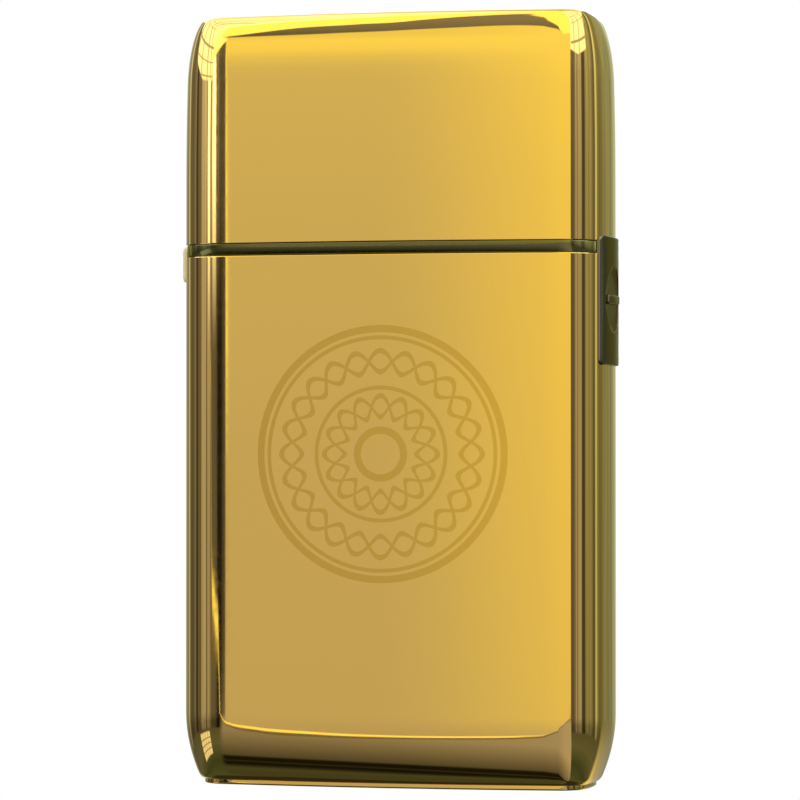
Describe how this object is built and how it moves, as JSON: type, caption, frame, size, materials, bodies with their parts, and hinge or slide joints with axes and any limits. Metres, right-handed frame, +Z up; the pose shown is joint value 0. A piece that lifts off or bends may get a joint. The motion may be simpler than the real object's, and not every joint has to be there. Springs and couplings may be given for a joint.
{
  "type": "foil shaver",
  "caption": "Slim upright cordless foil shaver with a mirror-gold body, a dark parting band, a side slide switch and a pull-off cap over a twin-foil head.",
  "frame": {"origin": "middle of the underside of the base plate", "axes": "+Z up along the body, front faces -Y, the slide switch is on the +X side"},
  "size_m": [0.059, 0.0216, 0.1032],
  "materials": {
    "gold_plate": "gold mirror plating",
    "dark_trim": "polished dark olive bronze plating",
    "pale_gold": "glossy pale gold",
    "black_plastic": "fine moulded texture",
    "foil_metal": "thin gold-tone foil",
    "cutter_steel": "ground",
    "spring_steel": "drawn wire",
    "motor_steel": "zinc plated",
    "magnet": "sintered",
    "copper": "wound copper",
    "nickel": "nickel strip",
    "screw_steel": "zinc plated",
    "cell_wrap": "shrink sleeve",
    "board_green": "solder mask",
    "chip": "moulded",
    "capacitor_sleeve": "shrink sleeve",
    "seal_rubber": "soft",
    "red_wire": "insulation",
    "black_wire": "insulation"
  },
  "bodies": {
    "root": {"body_shell": "gold_plate", "base_plate": "gold_plate", "parting_band": "dark_trim", "head_tray": "black_plastic", "shaft_seal": "seal_rubber", "bridge_guide": "black_plastic", "inner_frame": "black_plastic", "motor_can": "motor_steel", "motor_endcap": "black_plastic", "motor_magnet_left": "magnet", "motor_magnet_right": "magnet", "battery_cell": "cell_wrap", "battery_tab_positive": "nickel", "battery_tab_negative": "nickel", "circuit_board": "board_green", "board_controller": "chip", "board_capacitor": "capacitor_sleeve", "slide_switch_body": "motor_steel", "charge_socket": "black_plastic", "release_spring": "spring_steel", "motor_lead_red": "red_wire", "motor_lead_black": "black_wire", "base_screw_left": "screw_steel", "base_screw_right": "screw_steel", "frame_screw_left": "screw_steel", "frame_screw_right": "screw_steel", "guide_screw_left": "screw_steel", "guide_screw_right": "screw_steel", "motor_screw_left": "screw_steel", "motor_screw_right": "screw_steel"},
    "cap": {"protective_cap": "gold_plate"},
    "switch": {"switch_slider": "dark_trim", "slide_switch_actuator": "black_plastic"},
    "button": {"release_button": "pale_gold"},
    "head": {"foil_housing": "black_plastic"},
    "foil_unit_front": {"foil_front": "foil_metal", "foil_carrier_front": "black_plastic"},
    "foil_unit_rear": {"foil_rear": "foil_metal", "foil_carrier_rear": "black_plastic"},
    "bridge": {"drive_bridge": "black_plastic", "cutter_spring_front": "spring_steel", "cutter_spring_rear": "spring_steel"},
    "cutter_unit_front": {"cutter_front": "cutter_steel"},
    "cutter_unit_rear": {"cutter_rear": "cutter_steel"},
    "rotor": {"motor_rotor": "copper", "eccentric_cam": "black_plastic"}
  },
  "joints": [
    {"name": "cap_lift", "type": "slide", "parent": "root", "child": "cap", "axis": [0, 0, 1], "range_m": [0, 0.038]},
    {"name": "switch_slide", "type": "slide", "parent": "root", "child": "switch", "axis": [0, 0, -1], "range_m": [0, 0.003]},
    {"name": "release_press", "type": "slide", "parent": "root", "child": "button", "axis": [1, 0, 0], "range_m": [0, 0.0006], "stiffness_N_per_m": 1500, "springref_m": -0.0004, "deforming": ["release_spring"]},
    {"name": "head_lift", "type": "slide", "parent": "root", "child": "head", "axis": [0, 0, 1], "range_m": [0, 0.006]},
    {"name": "foil_float_front", "type": "slide", "parent": "head", "child": "foil_unit_front", "axis": [0, 0, -1], "range_m": [0, 0.0012], "stiffness_N_per_m": 1200, "springref_m": -0.0003},
    {"name": "foil_float_rear", "type": "slide", "parent": "head", "child": "foil_unit_rear", "axis": [0, 0, -1], "range_m": [0, 0.0012], "stiffness_N_per_m": 1200, "springref_m": -0.0003},
    {"name": "bridge_slide", "type": "slide", "parent": "root", "child": "bridge", "axis": [1, 0, 0], "range_m": [-0.001, 0.001]},
    {"name": "cutter_float_front", "type": "slide", "parent": "bridge", "child": "cutter_unit_front", "axis": [0, 0, -1], "range_m": [0, 0.0012], "deforming": ["cutter_spring_front"]},
    {"name": "cutter_float_rear", "type": "slide", "parent": "bridge", "child": "cutter_unit_rear", "axis": [0, 0, -1], "range_m": [0, 0.0012], "deforming": ["cutter_spring_rear"]},
    {"name": "motor_spin", "type": "hinge", "parent": "root", "child": "rotor", "pos_m": [0, 0, 0.045], "axis": [0, 0, 1], "continuous": true}
  ],
  "couplings": [
    {"joint": "cutter_float_front", "follows": "foil_float_front", "ratio": 1},
    {"joint": "cutter_float_rear", "follows": "foil_float_rear", "ratio": 1}
  ]
}
